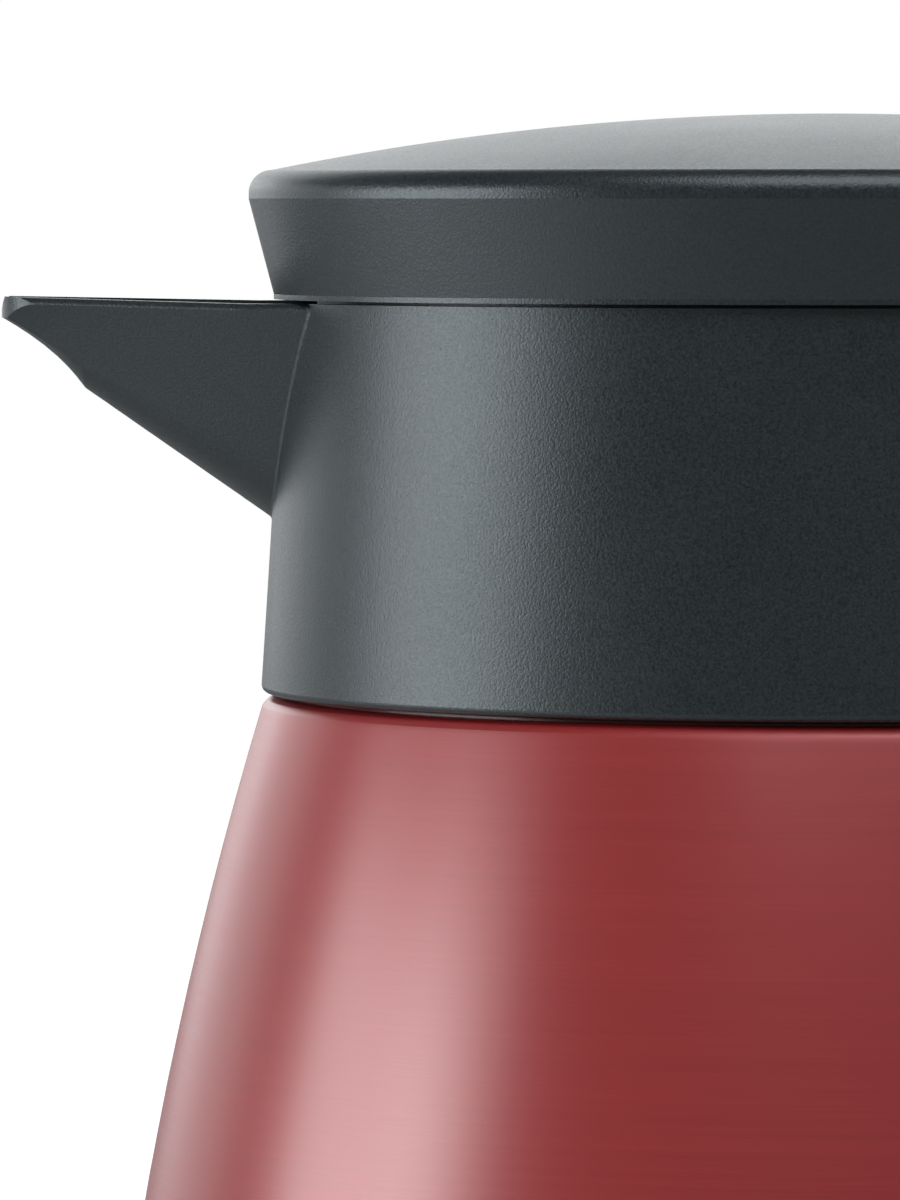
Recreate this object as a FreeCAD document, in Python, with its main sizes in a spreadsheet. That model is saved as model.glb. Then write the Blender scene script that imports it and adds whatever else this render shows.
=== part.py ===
import FreeCAD, Part
import Sketcher
import math
import os
from types import SimpleNamespace

Vector = FreeCAD.Vector

# Driving dimensions in millimetres; the pot stands on Z = 0 and its spout points to -X
SIZES = {
    "collar_radius": 50.0,
    "body_height": 150.0,
    "belly_bulge": 16.1,
    "belly_height": 39.0,
    "shoulder_inset": 0.3,
    "shoulder_round": 0.8,
    "foot_height": 5.0,
    "shell_wall": 0.8,
    "vacuum_gap": 5.0,
    "flask_floor": 12.0,
    "flask_corner": 12.0,
    "neck_inset": 10.0,
    "neck_rise": 18.0,
    "neck_gap": 2.0,
    "neck_slope": 3.0,
    "port_radius": 3.0,
    "port_cap_radius": 8.0,
    "pan_flange": 4.0,
    "getter_radius": 5.0,
    "getter_height": 2.2,
    "getter_offset": 22.0,
    "pad_inset": 6.6,
    "pad_thickness": 1.8,
    "plate_thickness": 1.8,
    "rib_width": 2.0,
    "collar_taper": 2.1,
    "collar_height": 34.2,
    "collar_wall": 2.2,
    "collar_seam": 0.4,
    "edge_round": 0.6,
    "spout_length": 23.0,
    "spout_point": 3.6,
    "nose_point": 8.0,
    "spout_half_width": 14.6,
    "spout_wall": 2.0,
    "spout_fillet": 0.5,
    "lip_run": 7.4,
    "lip_rise": 0.5,
    "lid_seam": 0.3,
    "lid_overhang": 1.0,
    "rim_flare": 2.2,
    "skirt_height": 8.8,
    "skirt_land": 0.45,
    "lid_wall": 2.2,
    "lid_rib_drop": 2.0,
    "rim_round": 2.0,
    "rim_land": 0.5,
    "cover_lip": 2.0,
    "dome_rise": 4.95,
    "hinge_offset": 1.0,
    "pin_radius": 1.5,
    "knuckle_radius": 4.2,
    "knuckle_half_width": 8.0,
    "lug_width": 4.0,
    "lug_drop": 12.0,
    "lever_length": 17.0,
    "lever_rise": 4.0,
    "lever_thickness": 2.4,
    "lever_corner": 5.0,
    "spring_radius": 2.7,
    "spring_wire": 0.8,
    "spring_half_length": 2.6,
    "spring_leg": 6.0,
    "running_gap": 0.05,
    "moving_gap": 0.3,
    "fixed_gap": 0.1,
    "plug_gap": 2.9,
    "plug_taper": 1.5,
    "plug_travel": 1.5,
    "plug_wall": 1.6,
    "plug_head_radius": 4.5,
    "plug_head_height": 1.8,
    "flange_overlap": 1.2,
    "well_depth": 5.0,
    "well_radius": 10.2,
    "seal_thickness": 1.6,
    "seal_overlap": 0.8,
    "seal_width": 2.6,
    "seal_squeeze": 0.2,
    "boss_radius": 6.0,
    "coil_radius": 8.1,
    "coil_wire": 1.2,
    "screw_radius": 2.0,
    "screw_spread": 6.0,
    "screw_length": 18.0,
    "screw_head_radius": 2.9,
    "screw_head_height": 2.0,
    "handle_width": 22.0,
    "handle_depth": 15.0,
    "handle_round": 5.0,
    "handle_wall": 2.4,
    "handle_stand": 45.9,
    "handle_bend": 26.0,
    "handle_rise": 9.5,
    "handle_drop": 107.5,
    "arm_solid": 18.0,
    "stud_length": 9.0,
    "barb_length": 2.5,
    "barb_rise": 0.5,
}


class Size:
    """A length that keeps its number and the sheet formula that drives it."""

    def __init__(self, number, formula=None):
        self.number = float(number)
        self.formula = formula or repr(float(number))

    def __add__(self, other):
        other = as_size(other)
        return Size(self.number + other.number, f"({self.formula} + {other.formula})")

    def __sub__(self, other):
        other = as_size(other)
        return Size(self.number - other.number, f"({self.formula} - {other.formula})")

    def __mul__(self, other):
        other = as_size(other)
        return Size(self.number * other.number, f"({self.formula} * {other.formula})")

    def __truediv__(self, other):
        other = as_size(other)
        return Size(self.number / other.number, f"({self.formula} / {other.formula})")

    def __radd__(self, other):
        return as_size(other) + self

    def __rsub__(self, other):
        return as_size(other) - self

    def __rmul__(self, other):
        return as_size(other) * self

    def __neg__(self):
        return Size(-self.number, f"(0 - {self.formula})")

    def root(self):
        return Size(math.sqrt(self.number), f"sqrt({self.formula})")


def as_size(value):
    return value if isinstance(value, Size) else Size(value)


doc = FreeCAD.newDocument("insulated_teapot")
sheet = doc.addObject("Spreadsheet::Sheet", "Sizes")
for row, (alias, number) in enumerate(SIZES.items(), start=1):
    sheet.set(f"A{row}", alias.replace("_", " "))
    sheet.set(f"B{row}", str(number))
    sheet.setAlias(f"B{row}", alias)
doc.recompute()
d = SimpleNamespace(**{alias: Size(number, f"Sizes.{alias}") for alias, number in SIZES.items()})


# Drawing tools: every corner of a sketch is tied to the sheet
def plane_of(body, role):
    return next(item for item in body.Origin.OriginFeatures if item.Role == role)


def new_body(label):
    body = doc.addObject("PartDesign::Body", label)
    body.Label = label
    return body


def new_sketch(body, name, role, offset=None):
    sketch = body.newObject("Sketcher::SketchObject", name)
    sketch.AttachmentSupport = [(plane_of(body, role), "")]
    sketch.MapMode = "FlatFace"
    if offset is not None:
        sketch.AttachmentOffset = FreeCAD.Placement(Vector(0, 0, offset.number), FreeCAD.Rotation())
        sketch.setExpression("AttachmentOffset.Base.z", offset.formula)
    return sketch


def tie(sketch, kind, *where, size):
    """Adds one dimension to a sketch and drives it by the sheet."""
    index = sketch.addConstraint(Sketcher.Constraint(kind, *where, size.number))
    sketch.setExpression(f"Constraints[{index}]", size.formula)


def tie_point(sketch, geometry, end, across, up):
    for kind, axis, size in (("DistanceX", -2, as_size(across)), ("DistanceY", -1, as_size(up))):
        if size.number == 0:
            sketch.addConstraint(Sketcher.Constraint("PointOnObject", geometry, end, axis))
        else:
            tie(sketch, kind, -1, 1, geometry, end, size=size)


def add_arc(sketch, start, finish, radius):
    """A short arc; a positive radius puts its centre on the left of the way from start to finish."""
    chord = finish - start
    left = Vector(-chord.y, chord.x, 0).normalize()
    rise = math.sqrt(max(radius ** 2 - chord.Length ** 2 / 4, 0))
    centre = (start + finish) / 2 + left * math.copysign(rise, radius)
    circle = Part.Circle(centre, Vector(0, 0, 1), abs(radius))
    first, last = (start, finish) if radius > 0 else (finish, start)
    angles = [math.atan2(point.y - centre.y, point.x - centre.x) for point in (first, last)]
    if angles[1] < angles[0]:
        angles[1] += 2 * math.pi
    return sketch.addGeometry(Part.ArcOfCircle(circle, *angles))


def draw(sketch, corners):
    """A closed outline; a third value at a corner is the radius of the arc to the next corner."""
    places = [Vector(as_size(corner[0]).number, as_size(corner[1]).number, 0) for corner in corners]
    edges = []
    for index, corner in enumerate(corners):
        start = places[index]
        finish = places[(index + 1) % len(corners)]
        if len(corner) == 2:
            edges.append((sketch.addGeometry(Part.LineSegment(start, finish)), 1, 2))
        else:
            radius = as_size(corner[2])
            ends = (1, 2) if radius.number > 0 else (2, 1)
            edges.append((add_arc(sketch, start, finish, radius.number), *ends))
    for index, (geometry, start, finish) in enumerate(edges):
        following, next_start, _ = edges[(index + 1) % len(edges)]
        sketch.addConstraint(Sketcher.Constraint("Coincident", geometry, finish, following, next_start))
        tie_point(sketch, geometry, start, corners[index][0], corners[index][1])
        if len(corners[index]) == 3:
            radius = as_size(corners[index][2])
            tie(sketch, "Radius", geometry, size=radius if radius.number > 0 else -radius)


def circle_on(sketch, across, up, radius):
    across = as_size(across)
    up = as_size(up)
    radius = as_size(radius)
    centre = Vector(across.number, up.number, 0)
    ring = sketch.addGeometry(Part.Circle(centre, Vector(0, 0, 1), radius.number))
    tie_point(sketch, ring, 3, across, up)
    tie(sketch, "Radius", ring, size=radius)


def turn(body, name, corners, cut=False):
    """A full turn of an outline about the pot's upright axis."""
    sketch = new_sketch(body, name + "_outline", "XZ_Plane")
    draw(sketch, corners)
    feature = body.newObject("PartDesign::Groove" if cut else "PartDesign::Revolution", name)
    feature.Profile = sketch
    feature.ReferenceAxis = (sketch, ["V_Axis"])
    feature.Angle = 360
    return feature


def turned(label, corners):
    body = new_body(label)
    turn(body, label + "_turn", corners)
    return body


def extrude(body, name, sketch, length=None, both_ways=False, cut=False, reverse=False):
    """A pad or pocket; without a length it goes through everything."""
    feature = body.newObject("PartDesign::Pocket" if cut else "PartDesign::Pad", name)
    feature.Profile = sketch
    feature.SideType = "Symmetric" if both_ways else "One side"
    feature.Reversed = reverse
    if length is None:
        feature.Type = "ThroughAll"
    else:
        feature.Length = length.number
        feature.setExpression("Length", length.formula)
    return feature


def mirror(body, name, feature):
    copy = body.newObject("PartDesign::Mirrored", name)
    copy.Originals = [feature]
    copy.MirrorPlane = (plane_of(body, "XZ_Plane"), [""])
    body.Tip = copy
    return copy


def loft(body, name, sketches, cut=False, smooth=False):
    feature = body.newObject("PartDesign::SubtractiveLoft" if cut else "PartDesign::AdditiveLoft", name)
    feature.Profile = sketches[0]
    feature.Sections = sketches[1:]
    feature.Ruled = not smooth
    return feature


def round_edges(body, name, feature, radius, chosen):
    """Rounds the edges of a feature that the test picks."""
    doc.recompute()
    edges = [f"Edge{i}" for i, edge in enumerate(feature.Shape.Edges, start=1) if chosen(edge)]
    fillet = body.newObject("PartDesign::Fillet", name)
    fillet.Base = (feature, edges)
    fillet.Radius = radius.number
    fillet.setExpression("Radius", radius.formula)
    return fillet


def set_base(item, place):
    for axis, size in zip("xyz", place):
        size = as_size(size)
        setattr(item.Placement.Base, axis, size.number)
        item.setExpression(f"Placement.Base.{axis}", size.formula)


ALONG_X = FreeCAD.Rotation(Vector(0, 1, 0), 90)
ALONG_Y = FreeCAD.Rotation(Vector(1, 0, 0), -90)


def cylinder(name, radius, length, place, rotation=FreeCAD.Rotation()):
    item = doc.addObject("Part::Cylinder", name)
    item.Placement = FreeCAD.Placement(Vector(), rotation)
    for prop, size in (("Radius", radius), ("Height", length)):
        setattr(item, prop, size.number)
        item.setExpression(prop, size.formula)
    set_base(item, place)
    return item


def fuse(name, items):
    joined = doc.addObject("Part::MultiFuse", name)
    joined.Shapes = items
    return joined


# Levels and radii that several parts share
belly_radius = d.collar_radius + d.belly_bulge
step = d.body_height - d.collar_seam
side_lift = step - d.belly_height
side_drop = d.belly_bulge + d.shoulder_inset
side_radius = (side_lift * side_lift + side_drop * side_drop) / (2 * side_drop)


def side_at(height):
    """Radius of the shell's bulging side at a height."""
    lift = height - d.belly_height
    return belly_radius - side_radius + (side_radius * side_radius - lift * lift).root()


def collar_at(height):
    """Outer radius of the collar at a height."""
    return d.collar_radius - d.collar_taper * (height - d.body_height) / d.collar_height


foot_radius = side_at(d.foot_height)
neck_radius = d.collar_radius - d.neck_inset
step_radius = d.collar_radius - d.collar_wall - d.collar_seam
ledge = d.body_height + d.neck_rise / 2
mouth = d.body_height + d.neck_rise
base_floor = d.foot_height + d.shell_wall + d.moving_gap
flask_neck = neck_radius - d.shell_wall - d.neck_gap
flask_mouth = flask_neck - d.shell_wall
sleeve_radius = neck_radius + d.moving_gap
sleeve_foot = ledge + d.seal_thickness
collar_top = d.body_height + d.collar_height
collar_top_radius = d.collar_radius - d.collar_taper
deck_low = mouth - d.collar_wall
lid_bottom = collar_top + d.lid_seam
lid_radius = collar_top_radius + d.lid_overhang
rim_radius = lid_radius + d.rim_flare
parting = lid_bottom + d.skirt_height
hinge_x = rim_radius + d.knuckle_radius + d.hinge_offset
hinge_z = lid_bottom + d.skirt_height / 3
floor_low = lid_bottom + 2 * d.moving_gap
floor_high = floor_low + d.plate_thickness
flange_low = mouth + d.seal_squeeze + d.seal_thickness
flange_high = flange_low + d.lid_wall
well_low = mouth - d.well_depth
well_floor = well_low + d.plug_wall
pieces = []


def keep(item, label):
    item.Label = label
    pieces.append(item)


# Steel shell: one bulging wall that steps in under the collar and narrows to the neck
def outer_shell():
    wall = d.shell_wall
    edge = d.shoulder_round
    slope_top = neck_radius + d.neck_slope
    slope_low = step + d.neck_slope
    keep(turned("outer_shell", [
        (foot_radius, d.foot_height, side_radius),
        (side_at(step - edge), step - edge),
        (side_at(step) - edge / 3, step - edge / 3),
        (side_at(step) - edge, step),
        (step_radius, step),
        (step_radius, slope_low),
        (slope_top, ledge),
        (neck_radius, ledge),
        (neck_radius, mouth - wall),
        (neck_radius - wall, mouth - wall),
        (neck_radius - wall, ledge - wall),
        (slope_top - wall / 2, ledge - wall),
        (step_radius - wall, slope_low - wall / 2),
        (step_radius - wall, step - wall),
        (side_at(step - wall) - wall, step - wall, -side_radius),
        (foot_radius - wall, d.foot_height),
    ]), "outer_shell")


# Inner vessel: a wall one vacuum gap further in with a lip that closes the gap, and a dished bottom
def inner_flask():
    wall = d.shell_wall
    inset = wall + d.vacuum_gap
    corner_top = d.flask_floor + d.flask_corner
    shoulder = step - d.vacuum_gap
    neck_start = ledge - d.vacuum_gap / 2
    side_low = side_at(corner_top) - inset
    side_high = side_at(shoulder) - inset
    keep(turned("inner_flask", [
        (side_low, corner_top, side_radius),
        (side_high, shoulder),
        (flask_neck, neck_start),
        (flask_neck, mouth - wall),
        (neck_radius, mouth - wall),
        (neck_radius, mouth),
        (flask_mouth, mouth),
        (flask_mouth, neck_start - wall / 2),
        (side_high - wall, shoulder - wall / 2, -side_radius),
        (side_low - wall, corner_top),
    ]), "inner_flask")
    keep(turned("flask_bottom", [
        (0, d.flask_floor),
        (side_low - d.flask_corner, d.flask_floor, d.flask_corner),
        (side_low, corner_top),
        (side_low - wall, corner_top, wall - d.flask_corner),
        (side_low - d.flask_corner, d.flask_floor + wall),
        (0, d.flask_floor + wall),
    ]), "flask_bottom")


# Pressed pan welded into the shell's lower edge, with the port the air was drawn out through
def shell_bottom():
    wall = d.shell_wall
    flange = foot_radius - wall - d.fixed_gap
    keep(turned("shell_bottom", [
        (d.port_radius, base_floor),
        (flange, base_floor),
        (flange, base_floor + d.pan_flange),
        (flange - wall, base_floor + d.pan_flange),
        (flange - wall, base_floor + wall),
        (d.port_radius, base_floor + wall),
    ]), "shell_bottom")
    keep(cylinder("port_cap", d.port_cap_radius, wall, (0, 0, base_floor - wall)), "port_cap")
    getter_place = (0, d.getter_offset, base_floor + wall)
    keep(cylinder("getter", d.getter_radius, d.getter_height, getter_place), "getter")


# Plastic cap under the shell and the soft pad in its recess
def base():
    pad_radius = foot_radius - d.pad_inset
    recess = pad_radius + d.fixed_gap
    edge = foot_radius - d.moving_gap
    edge_low = d.pad_thickness / 2
    rib = foot_radius - d.shell_wall - d.edge_round
    cap_top = d.foot_height - d.fixed_gap
    cap_floor = d.pad_thickness + d.plate_thickness
    keep(turned("base_cap", [
        (0, d.pad_thickness),
        (recess, d.pad_thickness),
        (recess, edge_low),
        (edge - d.edge_round, edge_low, d.edge_round),
        (edge, edge_low + d.edge_round),
        (edge, cap_top),
        (rib, cap_top),
        (rib, base_floor),
        (rib - d.rib_width, base_floor),
        (rib - d.rib_width, cap_floor),
        (0, cap_floor),
    ]), "base_cap")
    keep(cylinder("base_pad", pad_radius, d.pad_thickness, (0, 0, 0)), "base_pad")


# Spout sections: a V whose round keel is tangent to its flat sides
CHINE_ACROSS = 0.548
CHINE_UP = 0.272
spout_tip = d.collar_radius + d.spout_length
spout_apex = spout_tip + d.spout_point
nose_apex = spout_tip + d.nose_point
spout_kink = spout_tip - d.lip_run
spout_start = d.collar_radius + 2 * d.spout_fillet
spout_depth = collar_top - deck_low
open_top = lid_bottom + d.knuckle_radius


def spout_scale(reach):
    """Share of the root's depth that is left at a reach from the pot's axis."""
    return (spout_apex - reach) / (spout_apex - d.collar_radius)


def spout_half(reach):
    """Half of the spout's width, which narrows more slowly than its depth."""
    return d.spout_half_width * (nose_apex - reach) / (nose_apex - d.collar_radius)


def beak(body, name, reach, half, top, chine_half, chine_z, keel_z, rounded=None, opening=None):
    """One cross-section of the spout; its top corners are rounded, or it runs on up to an opening."""
    sketch = new_sketch(body, name, "YZ_Plane", -reach)
    drop = chine_z - keel_z
    keel_radius = (chine_half * chine_half + drop * drop) / (2 * drop)
    keel = [(-chine_half, chine_z, keel_radius), (chine_half, chine_z)]
    if rounded is not None:
        before = [(-half + rounded, top, rounded), (-half, top - rounded)]
        after = [(half, top - rounded, rounded), (half - rounded, top)]
    else:
        before = [(-half, opening), (-half, top)]
        after = [(half, top), (half, opening)]
    draw(sketch, before + keel + after)
    return sketch


def cone_beak(body, name, reach, inset=0, keel=None, rounded=None, opening=None):
    """A cross-section of the straight part, which narrows evenly towards the tip."""
    keel_z = collar_top - spout_depth * spout_scale(reach) if keel is None else keel
    half = spout_half(reach) - inset
    chine_z = keel_z + CHINE_UP * (collar_top - keel_z)
    return beak(body, name, reach, half, collar_top, CHINE_ACROSS * half, chine_z, keel_z, rounded, opening)


# Collar: a conical wall with the hinge lugs, the beak spout, an inner deck and a sleeve on the neck
def collar_blank(body):
    edge = d.edge_round
    turn(body, "collar_blank", [
        (d.collar_radius - edge, d.body_height, edge),
        (d.collar_radius, d.body_height + edge),
        (collar_top_radius, collar_top),
        (sleeve_radius, collar_top),
        (sleeve_radius, d.body_height),
    ])


def hinge_lugs(body):
    lug = new_sketch(body, "lug_outline", "XZ_Plane", d.knuckle_half_width + d.moving_gap)
    root_x = collar_top_radius - d.collar_wall * 0.8
    root_top = collar_top - d.edge_round
    draw(lug, [
        (root_x, collar_top - d.lug_drop),
        (hinge_x + d.knuckle_radius, hinge_z, d.knuckle_radius),
        (hinge_x, hinge_z + d.knuckle_radius, d.knuckle_radius),
        (hinge_x - d.knuckle_radius, hinge_z),
        (hinge_x - d.knuckle_radius, root_top),
        (root_x, root_top),
    ])
    mirror(body, "lugs", extrude(body, "lug", lug, d.lug_width))
    rest = new_sketch(body, "spring_rest_outline", "XZ_Plane")
    rest_x = hinge_x - d.spring_radius - d.spring_wire / 2 - d.running_gap
    rest_top = collar_top - d.spring_leg / 2
    draw(rest, [
        (root_x, rest_top - d.spring_leg),
        (rest_x, rest_top - d.spring_leg / 2),
        (rest_x, rest_top),
        (root_x, rest_top),
    ])
    extrude(body, "spring_rest", rest, 2 * (d.spring_half_length + d.spring_wire), both_ways=True)


# Shares of the lip's run, and of the depth at the kink that is left there
LIP_STATIONS = ((0.39, 0.61), (0.854, 0.311), (1.0, 0.233))
LIP_CHINE = 0.85


def spout_edge(reach):
    """Height of the spout's edge, which rises evenly from the root to the tip."""
    return collar_top + d.lip_rise * (reach - spout_start) / (spout_tip - spout_start)


def outer_beak(body, name, reach, lifted=None):
    """A cross-section of the spout's outside; a lifted keel ends the flat sides higher up."""
    scale = spout_scale(reach)
    half = spout_half(reach)
    top = spout_edge(reach)
    side = top - collar_top + spout_depth * scale * (1 - CHINE_UP)
    chine = side if lifted is None else lifted * LIP_CHINE
    keel_z = collar_top - spout_depth * scale if lifted is None else top - lifted
    chine_half = half * (1 - (1 - CHINE_ACROSS) * chine / side)
    return beak(body, name, reach, half, top, chine_half, top - chine, keel_z, rounded=d.edge_round)


def meets_collar(edge):
    """True for the edges where the spout's sides and keel leave the collar."""
    points = edge.discretize(5)
    heights = [point.z for point in points]
    off = [math.hypot(point.x, point.y) - collar_at(as_size(point.z)).number for point in points]
    on_cone = max(map(abs, off)) < d.running_gap.number
    in_front = points[2].x < -d.neck_inset.number
    upright = max(heights) - min(heights) > d.fixed_gap.number
    return on_cone and in_front and upright and max(heights) < collar_top.number - d.moving_gap.number


def spout(body):
    inside = d.collar_radius - d.neck_inset + d.neck_slope
    root = loft(body, "spout_root", [
        cone_beak(body, "spout_root_inside", inside, rounded=d.edge_round),
        cone_beak(body, "spout_root_outside", spout_start, rounded=d.edge_round),
    ])
    round_edges(body, "spout_fillet", root, d.spout_fillet, meets_collar)
    loft(body, "spout_beak", [
        outer_beak(body, "spout_beak_start", spout_start),
        outer_beak(body, "spout_beak_end", spout_kink),
    ])
    stations = [outer_beak(body, "spout_lip_start", spout_kink)]
    kink_depth = spout_edge(spout_kink) - collar_top + spout_depth * spout_scale(spout_kink)
    for number, (run, left) in enumerate(LIP_STATIONS):
        reach = spout_kink + d.lip_run * run
        stations.append(outer_beak(body, f"spout_lip_{number}", reach, kink_depth * left))
    loft(body, "spout_lip", stations, smooth=True)
    spout_nose(body)


def spout_nose(body):
    """Rounds the tip, seen from above, by an arc that is tangent to both sides."""
    long = nose_apex - d.collar_radius
    slant = (d.spout_half_width * d.spout_half_width + long * long).root()
    sine = d.spout_half_width / slant
    cosine = long / slant
    nose_radius = d.nose_point * sine / (1 - sine)
    nose_half = nose_radius * cosine
    nose_x = nose_half * cosine / sine - nose_apex
    nose = new_sketch(body, "nose_outline", "XY_Plane")
    draw(nose, [
        (nose_x, nose_half, nose_radius),
        (nose_x, -nose_half),
        (nose_x, -d.spout_half_width),
        (-nose_apex, -d.spout_half_width),
        (-nose_apex, d.spout_half_width),
        (nose_x, d.spout_half_width),
    ])
    extrude(body, "nose", nose, both_ways=True, cut=True)


def pour_channel(body):
    """The groove that runs from the deck to the lip; it is cut right through the collar's wall."""
    wall = d.spout_wall
    half = spout_half(spout_tip) - wall
    kink_floor = collar_top - spout_depth * spout_scale(spout_kink) + wall
    tip_top = collar_top + d.lip_rise
    tip_floor = tip_top - d.edge_round
    deck_edge = d.collar_radius - d.collar_wall - d.edge_round
    loft(body, "channel", [
        cone_beak(body, "channel_inside", sleeve_radius + d.collar_wall, wall, mouth, opening=open_top),
        cone_beak(body, "channel_wall", deck_edge, wall, mouth, opening=open_top),
        cone_beak(body, "channel_kink", spout_kink, wall, kink_floor, opening=open_top),
        beak(body, "channel_tip", spout_tip + d.lip_rise, half, tip_top, half * CHINE_ACROSS,
             tip_floor, tip_floor - d.moving_gap, opening=open_top),
    ], cut=True)


def collar_cavities(body):
    wall = d.collar_wall
    sleeve_out = sleeve_radius + wall
    within = sleeve_radius - d.moving_gap
    below = d.body_height - d.edge_round
    turn(body, "cavity_above_deck", [
        (within, mouth),
        (collar_at(mouth) - wall, mouth),
        (collar_top_radius - wall, collar_top),
        (collar_top_radius - wall, open_top),
        (within, open_top),
    ], cut=True)
    turn(body, "cavity_below_deck", [
        (sleeve_out, deck_low),
        (collar_at(deck_low) - wall, deck_low),
        (d.collar_radius - wall, d.body_height),
        (d.collar_radius - wall, below),
        (within, below),
        (within, sleeve_foot),
        (sleeve_out, sleeve_foot),
    ], cut=True)


def collar():
    body = new_body("collar")
    collar_blank(body)
    hinge_lugs(body)
    spout(body)
    pour_channel(body)
    collar_cavities(body)
    pin = new_sketch(body, "pin_hole_outline", "XZ_Plane")
    circle_on(pin, hinge_x, hinge_z, d.pin_radius)
    extrude(body, "pin_hole", pin, both_ways=True, cut=True)
    hole_start = sleeve_radius + d.collar_wall + d.moving_gap
    bore(body, "screw_holes", hole_start, d.neck_inset, screw_spots, d.screw_radius)
    keep(body, "collar")
    keep(turned("neck_seal", [
        (neck_radius + d.fixed_gap, ledge),
        (neck_radius + d.seal_width, ledge),
        (neck_radius + d.seal_width, sleeve_foot),
        (neck_radius + d.fixed_gap, sleeve_foot),
    ]), "neck_seal")


# Handle: an outer and a grip half on one bent path, cut to sit on the collar and the shell
LOWER_REACH = 0.74
LOWER_BEND = 0.75
HOLLOW_END = 0.25
handle_root = d.body_height + d.handle_rise
handle_foot = handle_root - d.handle_drop
handle_reach = belly_radius + d.handle_stand
foot_x = side_at(handle_foot)
screw_z = handle_root + d.handle_depth / 4 - d.edge_round
screw_spots = [(-d.screw_spread, screw_z), (d.screw_spread, screw_z)]
stud_z = handle_foot - d.handle_depth / 4


def handle_path(body, name, start_x, finish_x):
    """Out from the collar, round a bend, down the grip and back to the shell."""
    sketch = new_sketch(body, name, "XZ_Plane")
    bends = (d.handle_bend, d.handle_bend * LOWER_BEND)
    corners_x = (handle_reach, belly_radius + d.handle_stand * LOWER_REACH)
    points = [Vector(across.number, up.number, 0) for across, up in (
        (start_x, handle_root),
        (corners_x[0], handle_root),
        (corners_x[1], handle_foot),
        (finish_x, handle_foot),
    )]
    ends = [points[0]]
    for before, corner, after, bend in zip(points, points[1:], points[2:], bends):
        back = (before - corner).normalize()
        ahead = (after - corner).normalize()
        run = bend.number / math.tan(back.getAngle(ahead) / 2)
        ends += [corner + back * run, corner + ahead * run]
    ends.append(points[3])
    lines = [sketch.addGeometry(Part.LineSegment(*ends[i:i + 2])) for i in (0, 2, 4)]
    for index, bend in enumerate(bends):
        arc = add_arc(sketch, *ends[2 * index + 1:2 * index + 3], -bend.number)
        sketch.addConstraint(Sketcher.Constraint("Tangent", lines[index], 2, arc, 2))
        sketch.addConstraint(Sketcher.Constraint("Tangent", arc, 1, lines[index + 1], 1))
        tie(sketch, "Radius", arc, size=bend)
        mark = sketch.addGeometry(Part.Point(points[index + 1]), True)
        sketch.addConstraint(Sketcher.Constraint("PointOnObject", mark, 1, lines[index]))
        sketch.addConstraint(Sketcher.Constraint("PointOnObject", mark, 1, lines[index + 1]))
        tie(sketch, "DistanceX", -1, 1, mark, 1, size=corners_x[index])
    sketch.addConstraint(Sketcher.Constraint("Horizontal", lines[0]))
    sketch.addConstraint(Sketcher.Constraint("Horizontal", lines[2]))
    tie_point(sketch, lines[0], 1, start_x, handle_root)
    tie_point(sketch, lines[2], 2, finish_x, handle_foot)
    return sketch


def handle_bar(body, name, direction, inset, start_x, finish_x):
    """A bar along the path with two rounded corners; an inset bar is the hollow inside."""
    path = handle_path(body, name + "_path", start_x, finish_x)
    section = new_sketch(body, name + "_section", "YZ_Plane", start_x)
    half = d.handle_width / 2 - inset
    corner = d.handle_round - inset
    seam = handle_root + direction * (d.fixed_gap - inset / 4)
    crown = handle_root + direction * (d.handle_depth / 2 - inset)
    bend = crown - direction * corner
    draw(section, [
        (-half, seam),
        (half, seam),
        (half, bend, direction * corner),
        (half - corner, crown),
        (-half + corner, crown, direction * corner),
        (-half, bend),
    ])
    hollow = inset.number > 0
    pipe = body.newObject("PartDesign::SubtractivePipe" if hollow else "PartDesign::AdditivePipe", name)
    pipe.Profile = section
    pipe.Spine = (path, [""])
    return pipe


def handle_half(label, direction):
    """One half of the handle; direction 1 is the outer half, -1 the grip half."""
    body = new_body(label)
    gap = d.fixed_gap
    bar_start = d.collar_radius - d.collar_wall
    handle_bar(body, label + "_bar", direction, as_size(0), bar_start, foot_x - d.collar_wall)
    hollow_end = belly_radius + d.handle_stand * HOLLOW_END
    handle_bar(body, label + "_hollow", direction, d.handle_wall, d.collar_radius + d.arm_solid, hollow_end)
    turn(body, label + "_seats", [
        (0, d.foot_height),
        (foot_radius + gap, d.foot_height, side_radius),
        (side_at(step) + gap, step),
        (d.collar_radius + gap, d.body_height),
        (collar_top_radius + gap, collar_top),
        (0, collar_top),
    ], cut=True)
    return body


def bore(body, name, start_x, length, spots, radius):
    """Round holes along +X from an upright plane."""
    sketch = new_sketch(body, name + "_outline", "YZ_Plane", start_x)
    for across, up in spots:
        circle_on(sketch, across, up, radius)
    extrude(body, name, sketch, length, cut=True, reverse=True)


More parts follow.
